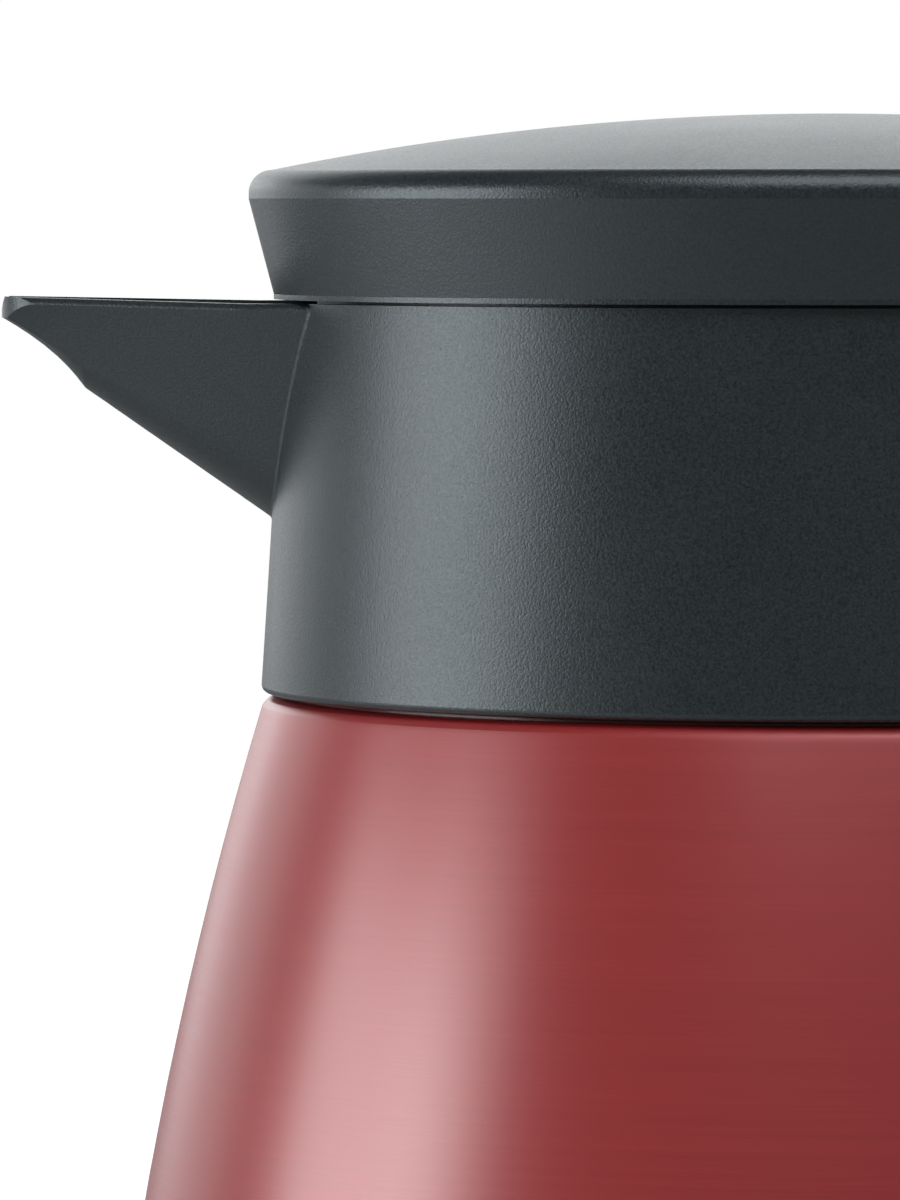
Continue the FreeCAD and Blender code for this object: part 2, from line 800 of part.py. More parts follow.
def handle():
    outer = handle_half("handle_outer", 1)
    loose = d.screw_radius + d.running_gap
    hole_start = d.collar_radius - d.neck_inset
    bore(outer, "root_holes", hole_start, d.neck_inset + d.screw_length, screw_spots, loose)
    stud_x = side_at(stud_z)
    barb_x = stud_x + d.stud_length - d.barb_length
    barb_radius = d.screw_radius + d.barb_rise
    hole_x = stud_x - d.barb_length
    bore(outer, "stud_hole", hole_x, d.stud_length + d.screw_radius, [(0, stud_z)], d.screw_radius + d.fixed_gap)
    chamber = d.barb_length + 2 * d.fixed_gap
    bore(outer, "stud_chamber", barb_x - d.fixed_gap, chamber, [(0, stud_z)], barb_radius + d.fixed_gap)
    keep(outer, "handle_outer")
    keep(handle_half("handle_inner", -1), "handle_inner")
    shank = cylinder("stud_shank", d.screw_radius, d.stud_length, (stud_x, 0, stud_z), ALONG_X)
    barb = cylinder("stud_barb", barb_radius, d.barb_length, (barb_x, 0, stud_z), ALONG_X)
    keep(fuse("handle_stud", [shank, barb]), "handle_stud")


def handle_screws():
    bearing = collar_at(screw_z + d.screw_head_radius) - d.collar_wall
    spread = d.screw_spread + d.screw_head_radius
    head_x = (bearing * bearing - spread * spread).root() - d.screw_head_height
    screws = []
    for side, name in ((-1, "screw_left"), (1, "screw_right")):
        place = (head_x, side * d.screw_spread, screw_z)
        head = cylinder(name + "_head", d.screw_head_radius, d.screw_head_height, place, ALONG_X)
        shank = cylinder(name + "_shank", d.screw_radius - d.running_gap, d.screw_length, place, ALONG_X)
        screws.append(fuse(name, [head, shank]))
    group = doc.addObject("Part::Compound", "handle_screws")
    group.Links = screws
    keep(group, "handle_screws")


# Hinge: a pin pressed into the lugs, and a torsion spring around it
HINGE_TURNS = 4
SAME_TURN = 3


def arc_between(start, finish, corner):
    """The arc from start to finish whose end tangents meet at the corner."""
    middle = (start + finish) / 2
    half_chord = (finish - start).Length / 2
    turn_angle = math.acos(min(half_chord / (corner - start).Length, 1))
    share = math.tan(turn_angle / 2) / math.tan(turn_angle)
    return Part.Arc(start, middle + (corner - middle) * share, finish).toShape()


def two_arcs(start, start_way, finish, finish_way):
    """Two arcs that leave and arrive along the given ways and join smoothly."""
    span = finish - start
    ways = start_way + finish_way
    spread = 2 * (1 - start_way.dot(finish_way))
    along = span.dot(ways)
    reach = (math.sqrt(along ** 2 + spread * span.dot(span)) - along) / spread
    first = start + start_way * reach
    second = finish - finish_way * reach
    join = (first + second) / 2
    return [arc_between(start, join, first), arc_between(join, finish, second)]


def helix(centre, radius, rise_way, first_way, next_way, turns, height, leg_in, leg_out):
    """Edges of a wound wire: a straight leg, quarter turns of two arcs each, a straight leg."""
    steps = int(turns * 4)
    points = []
    ways = []
    for index in range(steps + 1):
        angle = math.pi / 2 * index
        climb = rise_way * (height * index / steps)
        points.append(centre + climb + (first_way * math.cos(angle) + next_way * math.sin(angle)) * radius)
        slope = 0 if index in (0, steps) else height / (2 * math.pi * turns)
        way = (next_way * math.cos(angle) - first_way * math.sin(angle)) * radius + rise_way * slope
        ways.append(way.normalize())
    edges = [Part.LineSegment(points[0] - ways[0] * leg_in, points[0]).toShape()]
    for index in range(steps):
        edges += two_arcs(points[index], ways[index], points[index + 1], ways[index + 1])
    edges.append(Part.LineSegment(points[-1], points[-1] + ways[-1] * leg_out).toShape())
    return edges


def wound(label, edges, wire):
    """A round wire drawn along the edges; prints its least gap between neighbouring turns."""
    path = Part.Wire(edges)
    start = path.OrderedVertexes[0].Point
    way = edges[0].tangentAt(edges[0].FirstParameter)
    section = Part.Wire([Part.Circle(start, way, wire / 2).toShape()])
    shape = path.makePipeShell([section], True, False)
    item = doc.addObject("Part::Feature", label)
    item.Shape = shape
    walk = []
    run = 0
    for edge in edges:
        for point in edge.discretize(9)[:-1]:
            run += 0 if not walk else (point - walk[-1][1]).Length
            walk.append((run, point))
    gaps = []
    for index, (run, point) in enumerate(walk):
        for later_run, later in walk[index + 1:]:
            if later_run - run > SAME_TURN * wire:
                gaps.append((later - point).Length - wire)
    print(label, "least gap to itself", round(min(gaps), 3))
    return item


def hinge():
    half_pin = d.knuckle_half_width + d.moving_gap + d.lug_width
    keep(cylinder("hinge_pin", d.pin_radius, 2 * half_pin, (hinge_x, -half_pin, hinge_z), ALONG_Y), "hinge_pin")
    centre = Vector(hinge_x.number, -d.spring_half_length.number, hinge_z.number)
    lower_leg = hinge_z - collar_top + d.spring_leg
    upper_leg = d.spring_radius - d.moving_gap
    edges = helix(centre, d.spring_radius.number, Vector(0, 1, 0), Vector(-1, 0, 0), Vector(0, 0, 1),
                  HINGE_TURNS, 2 * d.spring_half_length.number, lower_leg.number, upper_leg.number)
    keep(wound("hinge_spring", edges, d.spring_wire.number), "hinge_spring")


# Lid: skirt, floor, knuckles and thumb lever in one moulding, with a domed cover snapped in
LEVER_DIP = 0.55


def lid_turn(body):
    wall = d.lid_wall
    inside = lid_radius - wall
    seat = rim_radius - wall
    hole = d.screw_radius + d.running_gap
    hole_top = floor_low + d.edge_round
    boss_low = well_floor + d.plug_travel + d.moving_gap
    rib_out = collar_top_radius - d.collar_wall - 2 * d.moving_gap
    rib_in = rib_out - d.rib_width
    rib_low = collar_top - d.lid_rib_drop
    turn(body, "lid_turn", [
        (lid_radius, lid_bottom),
        (lid_radius, lid_bottom + d.skirt_land),
        (rim_radius, parting),
        (seat, parting),
        (seat, parting - d.cover_lip - d.fixed_gap),
        (inside, floor_high),
        (0, floor_high),
        (0, hole_top),
        (hole, hole_top),
        (hole, boss_low),
        (d.boss_radius, boss_low),
        (d.boss_radius, floor_low),
        (rib_in, floor_low),
        (rib_in, rib_low),
        (rib_out, rib_low),
        (rib_out, floor_low),
        (inside, floor_low),
        (inside, lid_bottom),
    ])


def thumb_lever(body):
    arm = new_sketch(body, "arm_outline", "XZ_Plane")
    lever_x = hinge_x + d.lever_length
    middle_x = hinge_x + d.lever_length / 2
    middle_z = hinge_z + d.lever_rise * LEVER_DIP
    tip_z = hinge_z + d.lever_rise
    draw(arm, [
        (lid_radius - d.lid_wall / 2, lid_bottom + d.moving_gap),
        (hinge_x, hinge_z - d.knuckle_radius, d.knuckle_radius),
        (hinge_x + d.knuckle_radius, hinge_z),
        (middle_x, middle_z),
        (lever_x, tip_z),
        (lever_x, tip_z + d.lever_thickness),
        (middle_x, middle_z + d.lever_thickness + d.edge_round),
        (rim_radius - d.lid_wall * 0.8, parting - d.rim_land),
    ])
    bar = extrude(body, "arm", arm, 2 * d.knuckle_half_width, both_ways=True)

    def at_tip(edge):
        short = edge.Length < 1.5 * d.lever_thickness.number
        return short and all(abs(corner.X - lever_x.number) < 0.01 for corner in edge.Vertexes)

    round_edges(body, "lever_tip", bar, d.lever_corner, at_tip)


def lid_base():
    body = new_body("lid_base")
    lid_turn(body)
    thumb_lever(body)
    slot = new_sketch(body, "spring_slot_outline", "XZ_Plane")
    clear = d.knuckle_radius + d.fixed_gap
    slot_low = hinge_z - clear - d.spring_wire
    draw(slot, [
        (hinge_x - clear, slot_low),
        (hinge_x + clear, slot_low),
        (hinge_x + clear, hinge_z, clear),
        (hinge_x, hinge_z + clear, clear),
        (hinge_x - clear, hinge_z),
    ])
    extrude(body, "spring_slot", slot, 2 * (d.spring_half_length + d.spring_wire), both_ways=True, cut=True)
    pin = new_sketch(body, "knuckle_hole_outline", "XZ_Plane")
    circle_on(pin, hinge_x, hinge_z, d.pin_radius + d.running_gap)
    extrude(body, "knuckle_hole", pin, both_ways=True, cut=True)
    keep(body, "lid_base")


def lid_cover():
    lip = rim_radius - d.lid_wall - d.fixed_gap
    lip_in = lip - d.plate_thickness
    crest_radius = rim_radius - d.rim_round
    crest = parting + d.rim_land + d.rim_round
    apex = crest + d.dome_rise
    dome_radius = (crest_radius * crest_radius + d.dome_rise * d.dome_rise) / (2 * d.dome_rise)
    keep(turned("lid_cover", [
        (rim_radius, parting),
        (rim_radius, parting + d.rim_land, d.rim_round),
        (crest_radius, crest, dome_radius),
        (0, apex),
        (0, apex - d.plate_thickness),
        (lip_in, crest - d.plate_thickness),
        (lip_in, parting - d.cover_lip),
        (lip, parting - d.cover_lip),
        (lip, parting),
    ]), "lid_cover")
    foam_radius = lid_radius - d.lid_wall - d.edge_round
    foam_low = floor_high + d.fixed_gap
    foam_high = parting - d.cover_lip - d.fixed_gap
    keep(cylinder("lid_foam", foam_radius, foam_high - foam_low, (0, 0, foam_low)), "lid_foam")


# Plug: a floating stopper that hangs under the lid on a screw and is pressed down by a coil
PLUG_TURNS = 6
SHANK_REACH = 0.7
head_high = well_low - 2 * d.seal_squeeze
head_low = head_high - d.plug_head_height
cup_floor = head_low - d.plug_travel - d.moving_gap


def plug():
    wall = d.plug_wall
    well_out = d.well_radius + wall
    hole = d.screw_radius + d.seal_overlap
    flange = neck_radius + d.flange_overlap
    tube_top = floor_low - 2 * d.plug_travel - d.moving_gap
    keep(turned("plug_body", [
        (flange, flange_low),
        (flange, flange_high),
        (well_out, flange_high),
        (well_out, tube_top),
        (d.well_radius, tube_top),
        (d.well_radius, well_floor),
        (hole, well_floor),
        (hole, well_low),
        (well_out, well_low),
        (well_out, flange_low),
    ]), "plug_body")
    cup_radius = flask_mouth - d.plug_gap
    cup_foot = cup_radius - d.plug_taper
    keep(turned("plug_cup", [
        (0, cup_floor - wall),
        (cup_foot, cup_floor - wall),
        (cup_radius, flange_low),
        (cup_radius - wall, flange_low),
        (cup_foot - wall, cup_floor),
        (0, cup_floor),
    ]), "plug_cup")
    foam_out = cup_foot - wall - d.fixed_gap
    foam_in = well_out + d.fixed_gap
    keep(turned("plug_foam", [
        (foam_in, cup_floor + d.fixed_gap),
        (foam_out, cup_floor + d.fixed_gap),
        (foam_out, flange_low - d.fixed_gap),
        (foam_in, flange_low - d.fixed_gap),
    ]), "plug_foam")
    seal_in = flask_mouth - d.seal_overlap
    seal_out = neck_radius + d.seal_overlap
    keep(turned("plug_seal", [
        (seal_in, mouth + d.seal_squeeze),
        (seal_out, mouth + d.seal_squeeze),
        (seal_out, flange_low),
        (seal_in, flange_low),
    ]), "plug_seal")


def plug_hanger():
    shank_length = (floor_low - head_high) * SHANK_REACH
    head = cylinder("plug_screw_head", d.plug_head_radius, d.plug_head_height, (0, 0, head_low))
    shank = cylinder("plug_screw_shank", d.screw_radius, shank_length, (0, 0, head_high))
    keep(fuse("plug_screw", [head, shank]), "plug_screw")
    wire = d.coil_wire.number
    low = well_floor.number + wire / 2 + d.running_gap.number
    high = floor_low.number - wire / 2 - d.running_gap.number
    edges = helix(Vector(0, 0, low), d.coil_radius.number, Vector(0, 0, 1), Vector(1, 0, 0), Vector(0, 1, 0),
                  PLUG_TURNS, high - low, wire, wire)
    keep(wound("plug_spring", edges, wire), "plug_spring")


outer_shell()
inner_flask()
shell_bottom()
base()
collar()
handle()
handle_screws()
hinge()
lid_base()
lid_cover()
plug()
plug_hanger()
doc.recompute()

os.makedirs("parts", exist_ok=True)
for item in doc.Objects:
    if "Invalid" in item.State or "Error" in item.State:
        raise SystemExit(f"{item.Label} did not build: {item.State}")
for item in pieces:
    if item.Shape.isNull() or not item.Shape.isValid():
        raise SystemExit(f"{item.Label} has no sound shape")
    print(item.Label, len(item.Shape.Solids), round(item.Shape.Volume / 1000, 3), "cm3")
    item.Shape.exportStep(f"parts/{item.Label}.step")
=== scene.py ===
import math
import bmesh
import bpy
from mathutils import Matrix, Vector


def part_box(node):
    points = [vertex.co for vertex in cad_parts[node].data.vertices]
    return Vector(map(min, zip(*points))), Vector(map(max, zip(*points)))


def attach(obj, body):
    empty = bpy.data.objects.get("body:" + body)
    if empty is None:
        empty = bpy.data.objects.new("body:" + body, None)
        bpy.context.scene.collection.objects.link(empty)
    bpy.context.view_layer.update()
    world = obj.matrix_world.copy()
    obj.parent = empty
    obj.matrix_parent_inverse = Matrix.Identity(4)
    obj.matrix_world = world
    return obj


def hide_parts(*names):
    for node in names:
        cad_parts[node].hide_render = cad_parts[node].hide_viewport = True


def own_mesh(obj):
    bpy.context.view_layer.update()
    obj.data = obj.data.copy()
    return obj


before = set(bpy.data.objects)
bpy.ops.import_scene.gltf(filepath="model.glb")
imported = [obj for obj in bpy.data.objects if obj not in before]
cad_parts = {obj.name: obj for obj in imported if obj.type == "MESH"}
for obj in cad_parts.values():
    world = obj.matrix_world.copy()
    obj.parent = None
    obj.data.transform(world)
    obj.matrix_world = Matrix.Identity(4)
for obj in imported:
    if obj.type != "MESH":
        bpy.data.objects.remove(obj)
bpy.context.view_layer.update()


# Outer shell: one drawn steel wall, brushed round and round and coated with clear red lacquer.
# The brushing shows through as fine level streaks, and the lacquer gives a soft white gloss.
# Its shoulder is rounded, and the ledge in the seam under the collar is dull, with painted shade darkening
# its red.
class Wire:
    """An output socket in a material's nodes; arithmetic on it adds Math nodes."""

    def __init__(self, tree, socket=None):
        self.tree = tree
        self.socket = socket

    def add(self, kind, settings=None, values=None, output=0):
        """Adds a node, sets it up, then sets or links its sockets, and returns one output."""
        node = self.tree.nodes.new(kind)
        for name, setting in (settings or {}).items():
            if name == "stops":
                ramp = node.color_ramp
                for stop, (position, colour) in zip(ramp.elements, setting):
                    stop.position = position
                    stop.color = (*colour, 1)
            else:
                setattr(node, name, setting)
        for name, value in (values or {}).items():
            if isinstance(value, Wire):
                self.tree.links.new(value.socket, node.inputs[name])
            else:
                node.inputs[name].default_value = value
        return Wire(self.tree, node.outputs[output] if node.outputs else None)

    def math(self, operation, first, second):
        return self.add("ShaderNodeMath", {"operation": operation}, {0: first, 1: second})

    def __add__(self, other):
        return self.math("ADD", self, other)

    def __radd__(self, other):
        return self.math("ADD", other, self)

    def __sub__(self, other):
        return self.math("SUBTRACT", self, other)

    def __rsub__(self, other):
        return self.math("SUBTRACT", other, self)

    def __mul__(self, other):
        return self.math("MULTIPLY", self, other)

    def __rmul__(self, other):
        return self.math("MULTIPLY", other, self)

    def stretched(self, x, y, z):
        """The same coordinates, stretched along each axis."""
        return self.add("ShaderNodeVectorMath", {"operation": "MULTIPLY"}, {0: self, 1: (x, y, z)})

    def along(self, axis):
        """One of the three coordinates, by its letter."""
        return self.add("ShaderNodeSeparateXYZ", values={"Vector": self}, output=axis)

    def fade(self, start, end):
        """A smooth step from 0 at start to 1 at end."""
        values = {"Value": self, "From Min": start, "From Max": end}
        return self.add("ShaderNodeMapRange", {"interpolation_type": "SMOOTHSTEP"}, values)

    def noise(self, scale, detail=3.0, rough=0.55):
        values = {"Vector": self, "Scale": scale, "Detail": detail, "Roughness": rough}
        return self.add("ShaderNodeTexNoise", values=values)

    def tint(self, dark, light, low=0.3, high=0.7):
        """A colour between two shades, picked by this value."""
        stops = [(low, dark), (high, light)]
        return self.add("ShaderNodeValToRGB", {"stops": stops}, {"Fac": self})

    def raised(self, height, strength, depth, edge=0.0):
        """A surface normal that stands up with the height, depth metres at most; edge rounds sharp edges."""
        values = {"Strength": strength, "Distance": depth, "Height": height}
        if edge:
            values["Normal"] = self.add("ShaderNodeBevel", {"samples": 8}, {"Radius": edge})
        return self.add("ShaderNodeBump", values=values)


def start_finish(name):
    """A new material and the wire of its object coordinates, in metres."""
    material = bpy.data.materials.new(name)
    material.use_nodes = True
    material.node_tree.nodes.clear()
    spot = Wire(material.node_tree).add("ShaderNodeTexCoord", output="Object")
    return material, spot


def close_finish(material, spot, **values):
    """Joins the values to the material's one shader; an underscore in a name stands for a space."""
    sockets = {name.replace("_", " "): value for name, value in values.items()}
    surface = spot.add("ShaderNodeBsdfPrincipled", values=sockets)
    spot.add("ShaderNodeOutputMaterial", values={"Surface": surface})
    return material


def dress(material, *names):
    """Gives CAD nodes their finish."""
    for name in names:
        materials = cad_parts[name].data.materials
        materials.clear()
        materials.append(material)


# Heights where the painted seam shade and the dull finish fade in on the shell's ledge.
ledge_start = 0.1496
ledge_end = 0.1499
shoulder_edge = 0.001


def red_lacquer():
    material, spot = start_finish("red_lacquer")
    streaks = spot.stretched(40, 40, 5200).noise(1, 4, 0.65)
    long_streaks = spot.stretched(9, 9, 1500).noise(1, 2)
    clouds = spot.noise(18, 2)
    brushing = streaks * 0.65 + long_streaks * 0.35
    red = (brushing * 0.7 + clouds * 0.3).tint((0.395, 0.018, 0.019), (0.498, 0.027, 0.029))
    # Painted shade: the red is darkened almost to black on the ledge in the seam under the collar, and its
    # coat is taken off there.
    ledge_dull_and_painted_shade = spot.along("Z").fade(ledge_start, ledge_end)
    shaded_red = spot.add("ShaderNodeVectorMath", {"operation": "MULTIPLY"}, {0: red, 1: 1 - ledge_dull_and_painted_shade * 0.95})
    return close_finish(
        material, spot,
        Base_Color=shaded_red,
        Metallic=0.15,
        Roughness=brushing * 0.16 + ledge_dull_and_painted_shade * 0.4 + 0.32,
        Coat_Weight=(0.48 + clouds * 0.1) * (1 - ledge_dull_and_painted_shade),
        Coat_Roughness=0.27,
        Coat_IOR=2.2,
        Normal=spot.raised(brushing, 0.22, 0.00003, shoulder_edge),
    )


dress(red_lacquer(), "outer_shell")


# Inner flask, its bottom, the pan under the shell and its port cap: bare stainless steel, spun and welded.
# The flask's inside is polished finer than the pan, but all of it keeps faint spinning rings.
def satin_steel(name, rough, ring_pitch):
    material, spot = start_finish(name)
    rings = spot.stretched(30, 30, 1 / ring_pitch).noise(1, 3, 0.6)
    stains = spot.noise(35, 4)
    return close_finish(
        material, spot,
        Base_Color=(rings * 0.6 + stains * 0.4).tint((0.53, 0.528, 0.522), (0.66, 0.658, 0.65)),
        Metallic=1.0,
        Roughness=rings * 0.14 + stains * 0.08 + (rough - 0.1),
        Normal=spot.raised(rings, 0.25, 0.00002),
    )


dress(satin_steel("flask_steel", 0.26, 0.0005), "inner_flask", "flask_bottom")
dress(satin_steel("pan_steel", 0.36, 0.0008), "shell_bottom", "port_cap")


# Getter: a pressed pill that mops up the last gas between the walls.
# It is dull grey metal powder with a darker, flashed skin.
def getter_metal():
    material, spot = start_finish("getter_metal")
    grains = spot.noise(2200, 4)
    flash = spot.noise(220, 2)
    return close_finish(
        material, spot,
        Base_Color=flash.tint((0.10, 0.10, 0.11), (0.36, 0.35, 0.33)),
        Metallic=0.8,
        Roughness=grains * 0.3 + 0.4,
        Normal=spot.raised(grains, 0.4, 0.00005),
    )


dress(getter_metal(), "getter")


# Base cap: the moulded charcoal ring and plate that close the pot's underside.
# Its plastic has the same spark-eroded grain as the collar, the lid and the handle.
def grained_plastic(name, rubbed=None):
    """Charcoal plastic; rubbed is a function from the coordinates to a mask of hand-polished places."""
    material, spot = start_finish(name)
    lumps = spot.noise(4300, 1, 0.5)
    fine = spot.noise(8200, 2, 0.6)
    haze = spot.noise(60, 3)
    grain = lumps * 0.75 + fine * 0.25
    rough = lumps * 0.22 + haze * 0.06 + 0.22
    if rubbed:
        rough = rough - rubbed(spot) * 0.10
    return close_finish(
        material, spot,
        Base_Color=(lumps * 0.8 + haze * 0.2).tint((0.005, 0.008, 0.009), (0.022, 0.031, 0.035)),
        Roughness=rough,
        IOR=1.74,
        Specular_Tint=(0.90, 0.97, 1.0, 1),
        Normal=spot.raised(grain, 0.6, 0.00006),
    )


moulded = grained_plastic("grained_charcoal")
dress(moulded, "base_cap")


# Base pad: a punched rubber disc glued into the base cap's recess, with three grip rings.
# It keeps the pot from sliding, and its rim is slightly rounded.
mm = 0.001


def turn_round(bm, steps=96):
    """Turns all that is drawn in the XZ plane once about the pot's axis."""
    bmesh.ops.spin(bm, geom=bm.verts[:] + bm.edges[:], cent=(0, 0, 0), axis=(0, 0, 1), dvec=(0, 0, 0),
                   angle=2 * math.pi, steps=steps, use_merge=True)
    bmesh.ops.remove_doubles(bm, verts=bm.verts, dist=1e-7)
    bmesh.ops.recalc_face_normals(bm, faces=bm.faces)
    return bm


def draw_line(bm, corners):
    """Joins vertices one after another."""
    for pair in zip(corners, corners[1:]):
        bm.edges.new(pair)


def turned_mesh(outline):
    """A turned outline of points in millimetres, which closes on itself or ends on the axis."""
    bm = bmesh.new()
    corners = [bm.verts.new((x * mm, 0, z * mm)) for x, z in outline]
    on_axis = outline[0][0] == 0
    draw_line(bm, corners if on_axis else corners + corners[:1])
    return turn_round(bm)


def finish_piece(bm, name, material, body, slot, *nodes, crease=35):
    """Makes an object of the mesh, lets it ride on a body and stand for the CAD nodes.

    Edges that turn by more than crease, in degrees, are shaded as sharp.
    """
    mesh = bpy.data.meshes.new(name)
    bm.to_mesh(mesh)
    bm.free()
    mesh.polygons.foreach_set("use_smooth", [True] * len(mesh.polygons))
    mesh.set_sharp_from_angle(angle=math.radians(crease))
    mesh.materials.append(material)
    piece = bpy.data.objects.new(name, mesh)
    bpy.context.scene.collection.objects.link(piece)
    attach(piece, body)
    if nodes:
        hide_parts(*nodes)
    return piece


def pad_rubber():
    material, spot = start_finish("pad_rubber")
    specks = spot.noise(1800, 4)
    bloom = spot.noise(70, 3)
    return close_finish(
        material, spot,
        Base_Color=(specks * 0.4 + bloom * 0.6).tint((0.012, 0.012, 0.013), (0.035, 0.035, 0.036)),
        Roughness=bloom * 0.15 + 0.68,
        Normal=spot.raised(specks, 0.3, 0.00006),
    )


low, high = [corner.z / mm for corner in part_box("base_pad")]
pad_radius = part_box("base_pad")[1].x / mm
pad_edge = 0.5
groove_slope = 0.6
groove_width = 2.6
groove_roof = low + 0.5
pad_outline = [(0, low)]
for start in (14, 29, 44):
    end = start + groove_width
    pad_outline += [
        (start, low), (start + groove_slope, groove_roof), (end - groove_slope, groove_roof), (end, low),
    ]
pad_outline += [(pad_radius - pad_edge, low), (pad_radius, low + pad_edge), (pad_radius, high), (0, high)]
finish_piece(turned_mesh(pad_outline), "base_pad_rubber", pad_rubber(), "jug", "pad_rubber", "base_pad")


# Collar: the moulded plastic ring that is fitted over the steel neck, with the beak spout and hinge lugs.
# The tool's fine grain covers it all, the spout included.
dress(moulded, "collar")


# Neck seal: a black silicone ring squeezed between the shell's ledge and the collar's sleeve.
# Two small lips on each face do the sealing.
def silicone(name, dark, light):
    material, spot = start_finish(name)
    haze = spot.noise(300, 3)
    dust = spot.noise(3000, 2)
    return close_finish(
        material, spot,
        Base_Color=haze.tint(dark, light),
        Roughness=dust * 0.14 + 0.40,
        Normal=spot.raised(dust, 0.15, 0.00004),
    )


def ring_box(node):
    """Inner and outer radius and the two levels of a round CAD ring, in millimetres."""
    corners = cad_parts[node].data.vertices
    radii = [math.hypot(corner.co.x, corner.co.y) / mm for corner in corners]
    levels = [corner.co.z / mm for corner in corners]
    return min(radii), max(radii), min(levels), max(levels)


def seal_outline(node, lip):
    """A flat ring whose rims are full-bodied beads with a shallow valley between them."""
    inner, outer, low, high = ring_box(node)
    middle = (inner + outer) / 2
    return [
        (inner, low + lip), (inner + lip, low),
        (middle - lip, low + lip / 2), (middle + lip, low + lip / 2),
        (outer - lip, low), (outer, low + lip), (outer, high - lip), (outer - lip, high),
        (middle + lip, high - lip / 2), (middle - lip, high - lip / 2),
        (inner + lip, high), (inner, high - lip),
    ]


black_silicone = silicone("black_silicone", (0.018, 0.019, 0.020), (0.034, 0.035, 0.037))
seal_lip = 0.4
neck_ring = turned_mesh(seal_outline("neck_seal", seal_lip))
finish_piece(neck_ring, "neck_seal_ring", black_silicone, "jug", "silicone", "neck_seal")


# Handle: two moulded halves, screwed to the collar from inside and snapped over a stud low on the shell.
# The outer run is rubbed a little smoother where the hand closes round it.
grip_start = 0.085
grip_full = 0.108


def held_by_hand(spot):
    """Strongest on the upright run, away from the pot."""
    return spot.along("X").fade(grip_start, grip_full) * spot.noise(90, 3)


dress(grained_plastic("handle_charcoal", held_by_hand), "handle_outer", "handle_inner")


# Handle screws, stud and hinge pin: small turned steel parts with bright, drawn surfaces.
# With the lid shut, only the pin's two ends show, in the lugs behind the lid.
def turned_steel():
    material, spot = start_finish("turned_steel")
    lines = spot.stretched(900, 250, 900).noise(1, 3)
    smears = spot.noise(400, 3)
    return close_finish(
        material, spot,
        Base_Color=smears.tint((0.42, 0.42, 0.43), (0.60, 0.60, 0.61)),
        Metallic=1.0,
        Roughness=lines * 0.16 + 0.22,
        Normal=spot.raised(lines, 0.2, 0.00002),
    )


bright_steel = turned_steel()
dress(bright_steel, "handle_screws", "handle_stud", "hinge_pin")


# Hinge spring: four turns of hard wire round the pin, with one leg on the collar and one under the lid.
# It pushes the lid shut, and the drawn wire is smooth and bright.
wire_sides = 14
steps_per_turn = 40


def corners_of(parts):
    """The vertices among the parts that a mesh operator gives back."""
    return [part for part in parts if isinstance(part, bmesh.types.BMVert)]


def coiled_wire(start, leg_in, centre, axis, turns, rise, leg_out, wire, start_way):
    """A round wire: a straight leg, turns about an axis that climb by rise, and another straight leg."""
    bm = bmesh.new()
    turn = start_way.to_track_quat("Z", "Y").to_matrix().to_4x4()
    begin = Matrix.Translation(start - start_way * leg_in) @ turn
    bmesh.ops.create_circle(bm, cap_ends=False, radius=wire / 2, segments=wire_sides, matrix=begin)
    run = bmesh.ops.extrude_edge_only(bm, edges=bm.edges[:])["geom"]
    bmesh.ops.translate(bm, vec=start_way * leg_in, verts=corners_of(run))
    section = [part for part in run if not isinstance(part, bmesh.types.BMFace)]
    steps = turns * steps_per_turn
    last = bmesh.ops.spin(bm, geom=section, cent=centre, axis=axis, dvec=axis * (rise / steps),
                          angle=turns * 2 * math.pi, steps=steps, use_merge=False)["geom_last"]
    edges = [part for part in last if isinstance(part, bmesh.types.BMEdge)]
    run = bmesh.ops.extrude_edge_only(bm, edges=edges)["geom"]
    bmesh.ops.translate(bm, vec=start_way * leg_out, verts=corners_of(run))
    bmesh.ops.holes_fill(bm, edges=[edge for edge in bm.edges if edge.is_boundary])
    bmesh.ops.recalc_face_normals(bm, faces=bm.faces)
    return bm


def spring_wire():
    material, spot = start_finish("spring_wire")
    drawn = spot.noise(2600, 3)
    tint = spot.noise(500, 2)
    return close_finish(
        material, spot,
        Base_Color=tint.tint((0.36, 0.36, 0.37), (0.55, 0.55, 0.56)),
        Metallic=1.0,
        Roughness=drawn * 0.18 + 0.20,
        Normal=spot.raised(drawn, 0.15, 0.00002),
    )


wire_steel = spring_wire()
up = Vector((0, 0, 1))
pin_low, pin_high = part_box("hinge_pin")
hinge = (pin_low + pin_high) / 2
spring_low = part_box("hinge_spring")[0]
hinge_turns = 4
upper_leg = 2.4 * mm
hinge_wire = 0.8 * mm
hinge_coil = 2.7 * mm
hinge_half = 2.6 * mm
first = hinge + Vector((-hinge_coil, -hinge_half, 0))
bm = coiled_wire(first, first.z - spring_low.z, hinge, Vector((0, 1, 0)), hinge_turns, 2 * hinge_half,
                 upper_leg, hinge_wire, up)
finish_piece(bm, "hinge_spring_wire", wire_steel, "jug", "steel", "hinge_spring")


# Lid: the skirt, floor, knuckles and thumb lever in one moulding.
# It carries the collar's grain, and the lever's top is rubbed by the thumb.
thumb_start = 0.058
thumb_full = 0.068


def under_the_thumb(spot):
    """Strongest towards the lever's end."""
    return spot.along("X").fade(thumb_start, thumb_full) * spot.noise(160, 3)


rubbed_charcoal = grained_plastic("lid_charcoal", under_the_thumb)
dress(rubbed_charcoal, "lid_base")


# Lid cover: the domed top, with a rounded rim and a crisp crease where the dome begins.
# Its lip is snapped into the lid's skirt at the parting line, and it has the collar's grain.
def drawn_arc(bm, start, centre, angle, steps):
    """Draws an arc in the XZ plane from a vertex and returns its last vertex."""
    end = bmesh.ops.spin(bm, geom=[start], cent=centre, axis=(0, 1, 0), dvec=(0, 0, 0),
                         angle=angle, steps=steps, use_merge=False)["geom_last"]
    return corners_of(end)[0]


